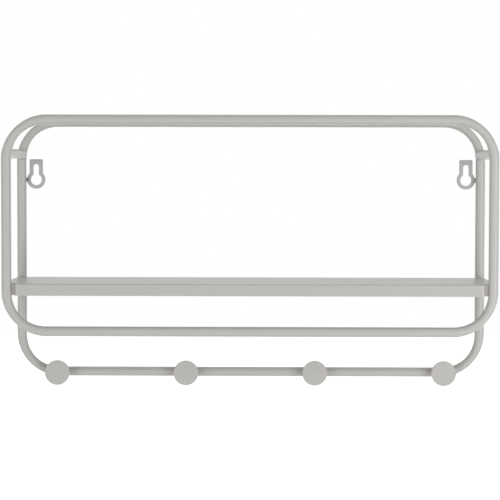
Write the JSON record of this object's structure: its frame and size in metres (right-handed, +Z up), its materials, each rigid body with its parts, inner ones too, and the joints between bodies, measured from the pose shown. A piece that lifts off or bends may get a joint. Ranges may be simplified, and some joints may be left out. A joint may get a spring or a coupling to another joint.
{
  "type": "wall shelf with hooks",
  "caption": "Wall shelf of bent-tube rings holding a folded sheet shelf, with disc hooks along its lower bar and keyhole plates to hang it by.",
  "frame": {"origin": "on the wall plane, midway between the centres of the two keyholes' round ends", "axes": "+X to the right along the wall as seen from the room, +Y into the wall, +Z up; the front faces -Y"},
  "size_m": [0.6, 0.15, 0.3418],
  "materials": {
    "grey_powder_coat": "satin warm light grey powder coat",
    "hanger_coat": "satin grey powder coat, a little darker and cooler"
  },
  "bodies": {
    "root": {"front_ring": "grey_powder_coat", "back_ring": "grey_powder_coat", "spacer_left": "grey_powder_coat", "spacer_right": "grey_powder_coat", "shelf": "grey_powder_coat", "hook_stem_1": "grey_powder_coat", "hook_stem_2": "grey_powder_coat", "hook_stem_3": "grey_powder_coat", "hook_stem_4": "grey_powder_coat", "hook_disc_1": "grey_powder_coat", "hook_disc_2": "grey_powder_coat", "hook_disc_3": "grey_powder_coat", "hook_disc_4": "grey_powder_coat", "hanger_left": "hanger_coat", "hanger_right": "hanger_coat"}
  },
  "joints": []
}
